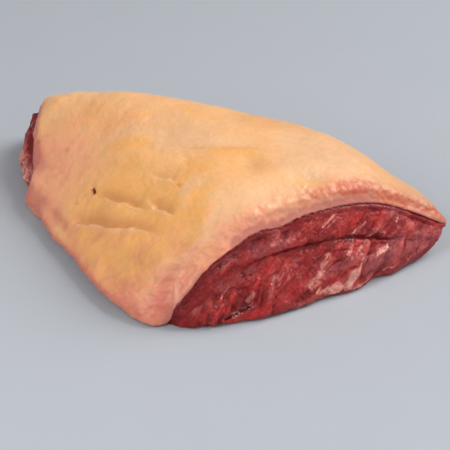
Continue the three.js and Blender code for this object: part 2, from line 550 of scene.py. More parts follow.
def thinned(piece, hidden):
    """Thins the mesh where it never shows, down to about MOST_TRIANGLES."""
    mesh = piece.data
    total = sum(len(p.vertices) - 2 for p in mesh.polygons)
    if total <= MOST_TRIANGLES:
        return
    group = piece.vertex_groups.new(name="hidden")
    group.add([int(k) for k in np.flatnonzero(hidden)], 1.0, "REPLACE")
    fewer = piece.modifiers.new("Fewer", "DECIMATE")
    fewer.ratio = MOST_TRIANGLES / total
    fewer.vertex_group = group.name
    surface = tree_of(mesh)
    settle(piece)
    piece.vertex_groups.clear()
    points = read(piece.data)[0]
    write(piece.data, np.array([tuple(surface.find_nearest(p)[0]) for p in points]))


# ---------------------------------------------------------------- fat cap


# The folds that run down towards the front corner, in plan, with their share of the fold depth and
# how far back each bank reaches.
FOLDS = (
    (
        ((-51, -16), (-46, -21), (-37, -23.5), (-30, -28), (-22, -29.5), (-14, -34.5), (-4, -37)),
        1.0,
        5.0,
    ),
    (((-10, -31), (-4, -33.5), (0, -37), (7, -39.5), (14, -43)), 0.85, 3.2),
    (((-66, -22), (-58, -28), (-49, -33.5), (-38, -36), (-27, -41.5), (-10, -45.5), (14, -54)), 0.9, 7.5),
    (((-17, -14), (-8, -17), (0, -18.5), (6, -22)), 0.28, 3.0),
)

# The side of the folds that has the lip. The bank is on the other side.
TO_FRONT = np.array((-0.25, -0.97, 0.0))

# The fat's grain: the first direction runs along it, and the others across it and upwards.
SKIN_AXES = ((0.93, 0.37, 0), (-0.37, 0.93, 0), (0, 0, 1))

# Soft ridges on the top: line in plan, half width and height.
RIDGES = (
    (((-56, -24), (-45, -27), (-30, -33), (-12, -40), (4, -45)), 4.5, 1.1),
    (((-58, -38), (-35, -48), (-5, -55), (8, -62)), 6.0, 0.8),
    (((-60, 6), (-30, 2), (-8, -6), (14, -10)), 9.0, 0.8),
    (((-30, 30), (0, 26), (40, 30), (62, 34)), 8.0, 0.6),
)

# The nick and two small pits: from and to in plan, half width, share of the nick depth, and how red
# the bottom is.
PITS = (
    (((-50.5, -16.3), (-48.5, -18.7)), 1.25, 1.0, 1.0),
    (((6, -23.5), (7.5, -24.5)), 0.8, 0.4, 0.7),
    (((-59, -21), (-58.5, -21.5)), 0.7, 0.4, 0.35),
)

# The soft crease along the top, in plan.
TOP_CREASE = ((-8, 2), (4, 3.5), (15, 5.4), (33, 12.4), (48, 15))

# Places: the shallow dimple on top and the juice at the front corner in plan, and the corner's foot.
DIMPLE = (41, 0)
JUICE = (12, -80)
CORNER_FOOT = (22, -76, 6)

# Long soft strokes on the top: line in plan, half width, and yellow above 0 or cream below it.
STROKES = (
    (((-58, 4), (-42, 9), (-18, 9)), 4.5, 0.50),
    (((0, -5), (12, -12), (26, -13)), 5.0, 0.55),
    (((8, -1), (32, 7), (46, 6)), 4.5, 0.50),
    (((-46, 17), (-16, 12), (14, 11), (44, 20)), 5.0, -0.50),
    (((-26, 42), (-12, 35), (14, 29)), 4.0, 0.40),
    (((36, 26), (80, 28)), 5.0, -0.30),
    (((-70, 22), (-50, 28), (-30, 31)), 4.0, 0.35),
    (((58, 2), (76, 4), (92, 12)), 5.0, 0.25),
)

# Small pink marks near the left end, from and to in plan.
PINK_MARKS = (((-109, 25.5), (-107.5, 24.8)), ((-81, 16.5), (-79.5, 16.2)), ((-83, 13), (-82, 12)))

# The ridge up the front corner, as way along the cut and height. Then the line in plan where the
# yellow ends, and the direction from it to the yellow side.
CORNER_RIDGE = ((3.1, 2), (3.4, 5), (4.8, 11.2), (6.6, 17.7), (8.2, 21.3), (10.9, 25.9), (14.5, 30))
YELLOW_EDGE = ((8, -26), (14, -32), (24, -37), (31, -44), (32, -52), (26, -60))
YELLOW_SIDE = np.array((-0.82, 0.55, 0))

# Broad tints of the skin: place in plan, reach and strength. Above 0 is more yellow, below 0 paler.
YELLOW_TINTS = (
    ((-30, -38), 30, 0.75),
    ((35, -5), 24, 0.20),
    ((-75, 38), 20, 0.30),
    ((2, -58), 24, 0.65),
    ((22, -52), 14, 0.40),
    ((70, 25), 26, -0.65),
    ((-15, 14), 30, -0.30),
    ((-60, 45), 26, -0.25),
    ((55, -30), 22, -0.50),
    ((-28, 0), 18, 0.25),
    ((-95, 45), 20, -0.20),
)
PINK_TINTS = (
    ((-92, 10), 24, 0.60),
    ((-70, 5), 16, 0.30),
    ((26, -76), 13, 0.70),
    ((50, -46), 12, 0.30),
    ((66, -30), 12, 0.30),
    ((-75, -20), 13, 0.35),
    ((-52, 24), 9, 0.25),
    ((124, 40), 15, 0.50),
    ((96, 4), 14, 0.35),
    ((-14, 16), 6, 0.20),
)


def tinted(points, tints):
    """Broad soft patches added up over the plan."""
    total = np.zeros(len(points))
    for place, reach, strength in tints:
        total += strength * bell(plan_reach(points, place), reach)
    return total


# The relief functions, for the fat here and for the meat below, give heights in millimetres. They
# also set the layers that colour their forms.


def fat_swells(points, wobble, ragged):
    """The broad swells, the small ripples and the faint grain of the skin."""
    choices = bpy.context.scene.picanha_fat
    forward = smooth(20, -40, points[:, 0] + points[:, 1])
    rough = 0.12 + 0.58 * smooth(35, -15, points[:, 0] + 1.2 * points[:, 1] + 12 * wobble)
    relief = choices.swell * MM * fractal(points, 26, 3) * (0.8 + 0.5 * forward)
    relief += choices.ripple * MM * rough * (fractal(points, 5.5, 11) + 0.55 * ragged)
    level = points @ np.stack(SKIN_AXES, axis=1)
    return relief + 0.13 * wander(level, (40, 6, 9), 21) + 0.04 * wander(level, (18, 2.6, 6), 22)


def fat_folds(points, tree, wobble, ragged, layers):
    """The folds with their lips, and the soft ridges beside them."""
    fold_depth = bpy.context.scene.picanha_fat.fold_depth * MM
    relief = np.zeros(len(points))
    for stations, depth, reach in FOLDS:
        _, share, step = near(points, from_above(tree, stations))
        ends = tapered(share, 0.35, 0.68)
        front = step @ TO_FRONT + 0.40 * wobble + 0.14 * ragged
        bank = np.exp(-((np.maximum(-front, 0) / (reach * ends + 0.8)) ** 1.3)) * smooth(1.6, -0.2, front)
        lip = smooth(0.0, 1.8, front) * np.exp(-np.maximum(front, 0) / 4.5)
        relief += fold_depth * depth * ends * (0.5 * lip - bank)
        relief += 0.22 * ends * bell(front - 1.0, 1.6) * ragged
        # Painted shade on the bank of each fold.
        layers.raised("hollow_shade", ends * depth * bell(front + 1.3, 2.6))
        # Painted highlight: cream along the lip of each fold.
        layers.raised("pale", ends * bell(front - 1.5, 1.4) * (0.7 + 0.5 * ragged))
    for stations, width, height in RIDGES:
        distance, share, _ = near(points, from_above(tree, stations))
        relief += height * bell(distance, width) * tapered(share, 0.3, 0.7)
    return relief


def fat_marks(points, tree, wobble, ragged, layers):
    """The nick and pits, the crease and the dimple on top, the pink marks and the corner's ridge."""
    nick_depth = bpy.context.scene.picanha_fat.nick_depth * MM
    relief = np.zeros(len(points))
    for stations, width, depth, red in PITS:
        distance = near(points, from_above(tree, stations))[0] + 0.2 * ragged
        pit = bell(distance, width)
        relief -= nick_depth * depth * pit
        layers.raised("blood", pit * red)
        # Painted shade round each pit.
        layers.raised("hollow_shade", 0.8 * bell(distance, width * 2.2))

    distance, share, _ = near(points, from_above(tree, TOP_CREASE))
    line = tapered(share, 0.2, 0.7)
    relief -= 0.5 * line * bell(distance, 2.0)
    # Painted shade along the crease.
    layers.raised("hollow_shade", 0.32 * line * bell(distance + 0.3 * ragged, 1.3))
    away = plan_reach(points, DIMPLE)
    relief -= 1.7 * bell(away, 7.5)
    # Painted shade in the dimple.
    layers.raised("hollow_shade", 0.26 * bell(away + 2 * wobble, 7))

    for stations in PINK_MARKS:
        distance = near(points, from_above(tree, stations))[0]
        layers.raised("mark", bell(distance + 0.7 * ragged, 1.3))
    relief -= 0.3 * layers["mark"]

    distance, share, _ = near(points, on_cut(tree, CORNER_RIDGE))
    ridge = bell(distance, 1.5) * smooth(1.0, 0.7, share)
    # Painted highlight along the corner's ridge.
    layers.raised("pale", 0.5 * ridge)
    return relief + 0.8 * ridge


def fat_edges(points, normals, gap, noise, layers):
    """The crumbly rim over the cut, the thin tip, the cut sides, and the juice at the front corner."""
    wobble, ragged, crumbs = noise
    along, out = from_cut(points)
    height = points[:, 2]
    rim = bell(gap - 10, 7)
    relief = rim * ((0.32 + 0.22 * smooth(30, 80, along)) * crumbs + 0.20 * ragged)
    relief -= 1.9 * smooth(124, 168, along) * smooth(3, 9, gap)

    # The steep sides take the side colour: their own redder colour, darkened as painted shade.
    side = smooth(0.80, 0.36, normals[:, 2] + 0.10 * wobble) * smooth(-6, -14, out + 2 * wobble)
    relief += side * (0.30 * fractal(points, 4.5, 45) + 0.12 * ragged)
    corner = bell(np.linalg.norm(points - CORNER_FOOT, axis=1) + 2 * wobble, 17)
    side = np.maximum(side, corner)
    layers.raised("side", side)
    # Painted highlight along the lower rim of the cut sides.
    layers.raised("pale", 0.5 * side * (1 - corner) * smooth(6, 2.5, height + 0.8 * ragged))
    juice = smooth(2.0, 0.8, height + 0.4 * ragged)
    juice = juice * bell(plan_reach(points, JUICE), 24)
    layers.raised("blood", 0.62 * juice)
    return relief


def fat_tints(points, tree, gap, noise, layers):
    """Where the skin is yellow, where it is pink, where the meat has stained its rim, and the painted
    highlight above it.
    """
    wobble, _, crumbs = noise
    along, out = from_cut(points)
    distance, _, step = near(points, from_above(tree, YELLOW_EDGE))
    inner = smooth(-2.0, 2.0, step @ YELLOW_SIDE + 1.5 * fractal(points, 8, 51)) - 0.5
    yellow = 0.5 + tinted(points, YELLOW_TINTS) + 0.9 * inner * bell(distance, 16)
    for stations, width, strength in STROKES:
        distance, share, _ = near(points, from_above(tree, stations))
        yellow += strength * tapered(share, 0.3, 0.7) * bell(distance + 1.5 * wobble, width)
    layers["yellow"] = yellow

    close = smooth(21, 6, gap + 3 * fractal(points, 12, 55)) * (0.4 + 0.6 * smooth(150, 90, along))
    low = smooth(24, 6, points[:, 2] + 4 * fractal(points, 14, 53))
    layers["pink"] = tinted(points, PINK_TINTS) + 0.40 * low + 0.60 * close

    turned = points @ np.stack((CUT_ALONG, -CUT_OUT, (0, 0, 1)), axis=1)
    patches = wander(turned, (15, 9, 5), 57) + 0.6 * wander(turned, (5, 3, 1.6), 58)
    cut = smooth(-20, -8, out)
    band = bell(gap - 9.5 + 1.6 * patches, 5.4) * (0.18 + 0.82 * cut * smooth(70, 112, along))
    layers["flush"] = band * (0.6 + 0.4 * smooth(-0.6, 0.7, patches))
    layers.raised("flush", 0.5 * cut * bell(gap - 6.5, 2.0) * smooth(0.1, 0.9, crumbs))
    red_end = 0.85 * smooth(98, 122, along) * smooth(160, 146, along) * smooth(-14, -6, out)
    red_end = red_end * bell(gap - 7.5, 4.0) * smooth(-0.9, 0.3, patches + crumbs)
    layers.raised("flush", red_end)
    # Painted highlight: a pale streak along the rim above the cut.
    arch = smooth(25, 60, along) * smooth(150, 120, along)
    layers.raised("pale", 0.8 * arch * smooth(0.35, 0.9, crumbs) * bell(gap - 13.0, 3.2))


def carve_fat(piece, meat_left_bare, meat_tree):
    """Gives the fat its relief, and stores what its colour needs."""
    tree = tree_of(piece.data)
    points = read(piece.data)[0]
    hidden = reach_to(meat_tree, points, 3.0) < TOUCHING
    hidden &= reach_to(meat_left_bare, points, 3.0) > 2.0
    thinned(piece, hidden)
    points, normals = read(piece.data)
    height = points[:, 2]
    reach_meat = reach_to(meat_tree, points, 3.0)
    gap = reach_to(meat_left_bare, points, GAP_REACH)
    wobble = fractal(points, 7, 31)
    ragged = fractal(points, 2.4, 35)
    crumbs = fractal(points, 4.2, 41, 4, 0.6)
    noise = (wobble, ragged, crumbs)

    # The seam layer marks the fat next to the meat, for its red edge and painted shade in the gap.
    layers = Layers(gap=gap / GAP_REACH, seam=smooth(1.7, 0.7, reach_meat + 0.22 * ragged))
    relief = fat_swells(points, wobble, ragged)
    relief += fat_folds(points, tree, wobble, ragged, layers)
    relief += fat_marks(points, tree, wobble, ragged, layers)
    relief += fat_edges(points, normals, gap, noise, layers)
    # Painted light and shade: the relief's height is stored to lighten the swells and darken the hollows.
    layers["relief"] = 0.5 + relief / 6
    fat_tints(points, tree, gap, noise, layers)

    _, out = from_cut(points)
    shoulder = bell(normals[:, 2] - 0.72, 0.09) * smooth(-6, -14, out) * smooth(45, 25, height)
    free = smooth(1.0, 3.0, reach_meat) * smooth(0.2, 2.5, height)
    write(piece.data, points + normals * ((relief + 0.35 * shoulder) * free)[:, None])
    layers.store(piece.data)


def fat_finish():
    """Soft cream and butter fat, pink where it is thin, with a glassy band along the meat."""
    choices = bpy.context.scene.picanha_fat
    fat = Finish("soft_fat")
    gap = fat.stored("gap")
    broad = fat.swing(fat.cloud(24, 4), 2.4)
    mottle = fat.swing(fat.cloud(90, 4, 0.62), 2.2)
    speck = fat.swing(fat.cloud(330, 3, 0.6), 2.2)
    turned = fat.grained(SKIN_AXES, (30, 4.0, 12))
    streak = fat.swing(fat.cloud(1, 4, 0.62, turned), 2.4)

    yellow = fat.held(fat.stored("yellow") + broad * 0.35 + streak * 0.42 + mottle * 0.10)
    shade = fat.mixed(yellow, choices.cream, choices.butter)
    pink = fat.held(fat.stored("pink") + mottle * 0.35 + broad * 0.35 + streak * 0.22 + speck * 0.12 - 0.02)
    shade = fat.mixed(pink, shade, choices.pink)
    # The steep sides: their own redder colour, darkened as painted shade.
    side = fat.held(fat.stored("side") * (0.95 + mottle * 0.3 + speck * 0.3))
    shade = fat.mixed(side, shade, choices.side)
    flush = fat.held(fat.stored("flush") * (1.0 + speck * 1.0 + mottle * 0.8))
    shade = fat.mixed(flush * 0.95, shade, choices.flush)
    glassy = 1 - fat.step(gap + speck * 0.012 + mottle * 0.02, 0.10, 0.17)
    shade = fat.mixed(glassy * 0.9, shade, choices.cut_band)
    # Painted shade in the hollows: the folds' banks, the crease, the dimple and round the pits.
    shade = fat.mixed(fat.stored("hollow_shade") * 0.45, shade, choices.hollow_shade_colour)
    # Painted highlight: cream on the fold lips, the corner ridge and the rims.
    shade = fat.mixed(fat.stored("pale") * 0.65, shade, choices.cream)
    shade = fat.mixed(fat.stored("mark") * 0.35, shade, choices.flush)
    shade = fat.mixed(fat.step(fat.stored("blood"), 0.30, 0.75), shade, choices.blood)
    # The fat next to the meat: its own red edge and painted shade in the gap.
    seam = fat.step(fat.stored("seam") + speck * 0.1 + mottle * 0.12, 0.45, 0.9)
    shade = fat.mixed(seam * 0.9, shade, choices.seam)
    # Painted shade: darker towards the right, where the key lamp falls most, and lighter to the left.
    tone = 1.07 - fat.step(fat.along((0.88, 0.47, 0), MM), -80, 130) * 0.26
    tone = tone + speck * 0.08 + mottle * 0.07 + streak * 0.05
    # Painted light and shade: lighter on the swells, darker in the hollows.
    shade = fat.lit(shade, tone + fat.swing(fat.stored("relief"), 0.30))

    fine = fat.cloud(900, 4, 0.65)
    relief = fine * 0.35 + speck * 0.35 + streak * 0.3 + mottle * 0.12
    return fat.shader(
        {
            "Base Color": shade,
            "Roughness": fat.held(0.46 + mottle * 0.10 - pink * 0.06),
            "Normal": fat.bumped(relief, 0.0005),
            "Coat Weight": fat.held(0.10 + fat.stored("pale") * 0.3 + mottle * 0.15),
            "Coat Roughness": 0.25,
            "IOR": 1.45,
            "Subsurface Weight": 0.15,
            "Subsurface Radius": (1.0, 0.45, 0.25),
            "Subsurface Scale": 0.004,
        }
    )


# ---------------------------------------------------------------- lean meat


# Places on the cut face, here and below: way along it from the front corner, and height. These are
# the crease between the two lobes, the open slit, the seam at the thin end and three small notches.
CREASE = (
    *((34, 25), (41, 27.2), (49, 29.6), (57, 31.3), (65, 31.8), (75, 32.3)),
    *((84, 31.6), (99, 30.6), (111, 28.5), (123, 24.5), (134, 20.5), (141, 17)),
)
SLIT = ((27, 3.2), (30, 4.6), (34, 6.4), (38, 8.2), (42, 9.6))
TOP_SEAM = ((125, 38), (137, 34.5), (144, 31), (152, 25.5), (165, 18))
NOTCHES = (((50, 41), (51.5, 43)), ((39.5, 34.5), (41, 36.5)), ((43, 22), (41.5, 26)))

# Folds that stand upright at the lower left: from, to, half width, height.
WALL_FOLDS = (
    ((17, 4), (21, 12), 2.0, 1.2),
    ((21.5, 3), (27, 14), 2.4, 1.7),
    ((27.5, 8), (34, 16), 2.6, 1.8),
    ((35, 10.5), (40, 17), 1.8, 1.3),
    ((42, 12), (47, 21), 2.0, 1.5),
    ((50, 5), (54, 17), 2.6, 0.9),
)

# Pale streaks and patches of fat in the meat: from, to, half width, strength.
STREAKS = (
    ((92, 38.2), (102, 42.3), 0.7, 0.65),
    ((95, 37.2), (101, 39.8), 0.5, 0.5),
    ((107, 38.5), (111, 43), 0.8, 0.4),
    ((115, 39.5), (119, 42), 0.7, 0.35),
    ((108, 28.8), (111.5, 31.6), 0.7, 0.85),
    ((111.5, 31.6), (114.5, 32.4), 0.6, 0.7),
    ((114, 32.2), (119, 33.8), 0.7, 0.55),
    ((119, 26.2), (125, 26.8), 0.7, 0.75),
    ((125, 26.8), (130, 25.6), 0.6, 0.6),
    ((133.5, 23.5), (141, 25.2), 0.5, 0.45),
    ((141, 24.4), (149, 24.3), 0.45, 0.4),
    ((138.5, 29.0), (141, 31.0), 0.9, 0.7),
    ((143, 26.6), (145, 28.4), 0.7, 0.5),
    ((95.5, 26.8), (98.4, 29.2), 0.8, 0.6),
    ((104, 21.6), (107.5, 25.6), 1.0, 0.8),
    ((113.5, 23.2), (109, 21.0), 0.8, 0.6),
    ((122.5, 17.4), (129.2, 18.6), 1.3, 1.0),
    ((116, 17.2), (122.5, 17.4), 0.6, 0.7),
    ((87, 20.0), (92.8, 24.4), 1.4, 0.75),
    ((84, 16.2), (88.5, 20.6), 1.1, 0.6),
    ((77, 12.8), (86.5, 17.2), 2.2, 0.7),
    ((79, 9.8), (84, 12.6), 1.6, 0.55),
    ((84, 7.0), (92.4, 5.6), 2.4, 0.8),
    ((91, 5.2), (101, 6.6), 2.8, 0.90),
    ((102, 7.9), (108.6, 13.6), 2.4, 0.95),
    ((108.6, 13.6), (112.6, 17.2), 0.9, 0.85),
    ((99, 4.0), (109.5, 3.4), 1.5, 0.7),
    ((109.5, 3.6), (118, 6.4), 1.0, 0.55),
    ((125, 5.2), (135.4, 7.6), 0.6, 0.65),
    ((136, 8.6), (142, 11.6), 0.5, 0.45),
    ((143, 6.4), (156, 9.4), 1.3, 0.45),
    ((150, 18.8), (158, 17.0), 0.8, 0.45),
    ((40.4, 12.6), (43.6, 16.6), 1.2, 0.75),
    ((27.6, 15.8), (32.4, 20.4), 0.45, 0.7),
    ((34.5, 14.2), (38.5, 18.4), 0.4, 0.5),
    ((27.5, 4.2), (34, 7.6), 0.6, 0.9),
    ((34, 7.6), (41, 10.6), 0.6, 0.8),
    ((53, 13), (58, 21.6), 1.1, 0.35),
    ((59, 17), (63, 22), 0.7, 0.4),
    ((60, 36), (67, 40), 0.6, 0.45),
    ((74, 36), (81, 40), 0.7, 0.45),
    ((33.5, 30.6), (38, 33.6), 0.6, 0.5),
    ((68, 2.5), (90, 3.5), 3.4, 0.33),
    ((14, 10), (22, 14), 2.4, 0.22),
)

# Freshly cut red, in the same way.
FRESH = (
    ((107.5, 23.6), (112.5, 25.6), 1.8, 1.0),
    ((92.5, 13.0), (95, 8.8), 1.6, 0.9),
    ((42.5, 18.6), (46, 23.4), 1.9, 0.9),
    ((33, 29.5), (43, 33.5), 2.6, 0.45),
    ((29, 2.2), (48, 5.0), 1.8, 0.9),
    ((51, 8), (55, 14), 2.4, 0.6),
    ((112, 36), (118, 40), 2.6, 0.6),
    ((124, 32), (132, 35), 2.2, 0.6),
    ((97, 34), (107, 37), 2.2, 0.5),
    ((164, 18), (171, 12), 3.2, 1.0),
    ((60, 10), (75, 16), 4.0, 0.45),
)

# Dull places with a thin skin over them, in the same way.
FILM = (
    ((30, 21), (46, 26.0), 2.4, 0.45),
    ((88, 17), (112, 20), 3.0, 0.55),
    ((118, 12), (138, 16), 5.5, 0.75),
    ((145, 15), (168, 14), 5.0, 0.65),
    ((50, 36), (72, 38), 3.0, 0.55),
    ((131, 4), (150, 5), 3.0, 0.45),
)

# Dark places, in the same way.
SHADY = (
    ((37, 10), (42, 17), 3.4, 0.65),
    ((72, 14), (80, 17), 3.5, 0.25),
    ((106, 11), (100, 10), 2.5, 0.40),
    ((121, 2), (125, 8), 1.4, 0.75),
    ((92, 33), (104, 37), 4.0, 0.35),
    ((46, 37), (58, 41), 2.0, 0.45),
)

# Wet places with tiny painted glints, in the same way.
WET = (
    ((33, 5.5), (43, 10.5), 1.6, 1.0),
    ((52, 12), (58, 21), 2.2, 0.9),
    ((66, 23), (72, 26), 1.6, 0.9),
    ((30, 30), (40, 34), 2.0, 0.7),
    ((108, 29), (118, 33), 1.5, 0.7),
    ((122, 17), (129, 18), 1.5, 0.8),
    ((20, 5), (26, 13), 2.0, 0.7),
)

# Places with few pale fibres, in the same way.
QUIET = (
    ((10, 6), (36, 14), 7.0, 0.7),
    ((28, 28), (48, 33), 3.0, 0.6),
    ((46, 10), (52, 24), 4.0, 0.7),
    ((104, 35), (118, 36), 2.5, 0.5),
)

# Swells and hollows along the meat's lower edge: way along, height, reach, rise.
LOWER_LOBES = (
    (110, 4, 7, 2.0),
    (124.5, 3, 5.5, -2.6),
    (140, 4, 9, 1.2),
    (60, 4, 12, 0.8),
    (80, 3, 8, -0.6),
)


def marks_on_cut(tree, points, marks, seed, soft=1.6):
    """How strongly each point belongs to one of the marks on the cut face."""
    total = np.zeros(len(points))
    ragged = 0.75 * fibres(points, (5, 1.2, 1.2), seed) + 0.35 * fractal(points, 1.6, seed + 3)
    for start, end, width, strength in marks:
        distance = near(points, on_cut(tree, (start, end)))[0]
        total = np.maximum(total, strength * smooth(soft, 0.4, distance / width + ragged))
    return total


def meat_fibres(points, normals, face, layers):
    """The lobes, terraces and bundles along the fibres, with the splits between them."""
    choices = bpy.context.scene.picanha_meat
    broad = fibres(points, (30, 6.5, 6.5), 65)
    bundle = fibres(points, (15, 2.6, 2.6), 71)
    thread = fibres(points, (8, 1.3, 1.3), 75)
    parting = np.abs(fibres(points, (24, 4.2, 4.2), 79)) + 0.05 * thread
    split = smooth(0.12, 0.0, parting) * smooth(-0.1, 0.5, fractal(points, 16, 81))
    terrace = fibres(points, (13, 5.5, 5.5), 85)
    terrace = smooth(-0.05, 0.18, terrace) - smooth(0.55, 0.9, terrace)
    lumps = fractal(points, 4.2, 89, 3, 0.6)
    coarse = broad + 0.6 * bundle + 0.2 * thread - 1.5 * split + 1.3 * terrace + 0.6 * lumps
    ledge = face * smooth(0.55, 0.85, normals[:, 2])
    relief = choices.lobe * MM * fractal(points, 17, 61, 2)
    relief += choices.bundle * MM * coarse * (1 - 0.6 * ledge)
    # Painted shade in the splits between the bundles.
    layers["dark_and_shade"] = 0.9 * split
    layers["band"] = 0.5 + 0.6 * (0.6 * broad + 0.4 * fibres(points, (20, 4, 4), 95))
    layers["bundle"] = 0.5 + 0.30 * bundle + 0.25 * thread + 0.15 * broad
    return relief, (bundle, thread, lumps, ledge)


def wall_folds(points, tree, bundle, lumps):
    """The upright folds at the lower left, and the grooves between them."""
    wall = np.zeros(len(points))
    grooves = np.zeros(len(points))
    for start, end, width, height in WALL_FOLDS:
        distance = near(points, on_cut(tree, (start, end)))[0] + 0.4 * bundle + 0.5 * lumps
        wall = np.maximum(wall, height * bell(distance, width))
        grooves = np.maximum(grooves, bell(distance - width * 1.5, 0.8) * smooth(-0.8, 0.6, lumps))
    return wall, grooves


def meat_crease(points, tree, noise, layers):
    """The crease across the cut face, with the shelf over it."""
    depth = bpy.context.scene.picanha_meat.crease_depth * MM
    bundle, thread, _, ledge = noise
    distance, share, step = near(points, on_cut(tree, CREASE))
    ends = tapered(share, 0.25, 0.85)
    reach = distance + (0.4 * thread + 0.2 * bundle) * (1 - ledge)
    groove = smooth(1.15, 0.1, reach) * ends
    shelf = smooth(7, 1.2, distance) * smooth(-0.3, 1.0, step[:, 2]) * ends
    under = smooth(0.5, -1.0, step[:, 2]) * smooth(5, 0.8, distance) * ends
    # Painted shade along the crease, and under the shelf above it.
    layers.raised("dark_and_shade", 0.85 * smooth(1.1, 0.2, reach) * tapered(share, 0.1, 0.9))
    layers.raised("dark_and_shade", 0.35 * under)
    return 0.8 * shelf - depth * (0.7 + 0.4 * smooth(0.55, 0.75, share)) * groove


def meat_openings(points, tree, thread, face, layers):
    """The open slit with its raised lips, the notches and the seam at the thin end."""
    distance, share, step = near(points, on_cut(tree, SLIT))
    above = step[:, 2]
    slit = smooth(1.3, 0.3, distance - 0.2 * thread) * tapered(share, 0.1, 0.9)
    relief = 1.1 * bell(distance, 2.6) * smooth(2.5, -0.5, above) - 2.2 * slit
    relief += 0.7 * bell(distance - 1.6, 0.8) * smooth(0.2, 1.0, above)
    # Painted shade in the open slit.
    layers.raised("dark_and_shade", slit)
    for stations in NOTCHES:
        distance = near(points, on_cut(tree, stations))[0]
        notch = smooth(1.5, 0.3, distance + 0.4 * thread)
        relief -= 0.8 * notch
        # Painted shade in each notch.
        layers.raised("dark_and_shade", 0.75 * notch)
    distance = near(points, on_cut(tree, TOP_SEAM))[0]
    seam = smooth(1.9, 0.4, distance + 0.4 * thread) * face
    # Painted shade along the seam at the thin end.
    layers.raised("dark_and_shade", 0.6 * seam)
    return relief - 0.8 * seam


def meat_marks(points, tree, face, vivid, layers):
    """The pale streaks, the freshly cut, filmed, dark, wet and quiet places, the painted light on the
    upright folds' crests, and the lower lobes.
    """
    along, _ = from_cut(points)
    layers.raised("dark_and_shade", face * marks_on_cut(tree, points, SHADY, 151, 2.0))
    layers["streaks"] = face * marks_on_cut(tree, points, STREAKS, 101)
    layers["fresh_and_lit"] = face * marks_on_cut(tree, points, FRESH, 111, 2.0)
    # Painted light on the crests of the upright folds, with the freshly cut red.
    layers.raised("fresh_and_lit", 0.55 * face * vivid)
    layers["film"] = face * marks_on_cut(tree, points, FILM, 121, 2.0)
    layers["quiet"] = face * marks_on_cut(tree, points, QUIET, 131, 1.8)
    layers["wet"] = face * marks_on_cut(tree, points, WET, 141, 1.8)
    relief = 0.3 * layers["streaks"] + 0.2 * layers["fresh_and_lit"]
    relief += 0.34 * layers["wet"] * fractal(points, 1.9, 145)
    for way, height, reach, rise in LOWER_LOBES:
        relief += rise * face * bell(np.hypot(along - way, points[:, 2] - height), reach)
    return relief


def carve_meat(piece, fat_tree):
    """Gives the meat its relief, and stores what its colour needs."""
    tree = tree_of(piece.data)
    points, normals = read(piece.data)
    on_floor = points[:, 2] < 0.4
    hidden = (reach_to(fat_tree, points, 3.0) < TOUCHING) | on_floor
    hidden &= (normals[:, 2] > 0.5) | on_floor
    thinned(piece, hidden)
    points, normals = read(piece.data)
    height = points[:, 2]
    reach_fat = reach_to(fat_tree, points, 8.0)
    along, out = from_cut(points)
    face = smooth(-6, -1, out)

    layers = Layers()
    relief, noise = meat_fibres(points, normals, face, layers)
    bundle, thread, lumps, _ = noise
    wall, grooves = wall_folds(points, tree, bundle, lumps)
    upright = face * smooth(12, 18, along) * smooth(60, 48, along) * smooth(24, 17, height)
    relief = relief * (1 - 0.65 * upright) + face * (1.5 * wall - grooves)
    layers["dark_and_shade"] = layers["dark_and_shade"] * (1 - 0.6 * upright)
    # Painted shade in the grooves between the upright folds.
    layers.raised("dark_and_shade", 0.8 * face * grooves)
    relief += meat_crease(points, tree, noise, layers)
    relief += meat_openings(points, tree, thread, face, layers)
    # The last mask is painted light on the crests of the upright folds.
    relief += meat_marks(points, tree, face, smooth(0.7, 1.5, wall + 0.3 * bundle), layers)

    left_end = smooth(-100, -112, points[:, 0]) * smooth(1, 6, height)
    relief += left_end * (1.4 + 0.9 * fractal(points, 7, 131))
    layers.raised("streaks", left_end * (0.24 + 0.25 * lumps + 0.5 * smooth(18, 9, height)))
    # Painted shade on the meat under the edge of the fat.
    shaded = 2.4 + 1.8 * smooth(75, 45, along) * face
    under_fat = smooth(1.6 * shaded, 0.8, reach_fat + 1.8 * bundle + 1.4 * lumps)
    layers.raised("dark_and_shade", under_fat * (0.88 - 0.40 * smooth(60, 100, along)))
    layers.raised("film", 0.45 * smooth(0.1, 0.9, fractal(points, 18, 125)) * smooth(100, 130, along))
    layers.raised("quiet", 0.9 * smooth(80, 40, along))
    layers.raised("quiet", 0.8 * upright)

    free = smooth(0.3, 1.8, reach_fat) * smooth(0.1, 1.5, height)
    tucked = smooth(1.3, 0.3, reach_fat) * smooth(1.0, 2.0, height)
    write(piece.data, points + normals * (relief * free + 0.75 * tucked)[:, None])
    layers.store(piece.data)


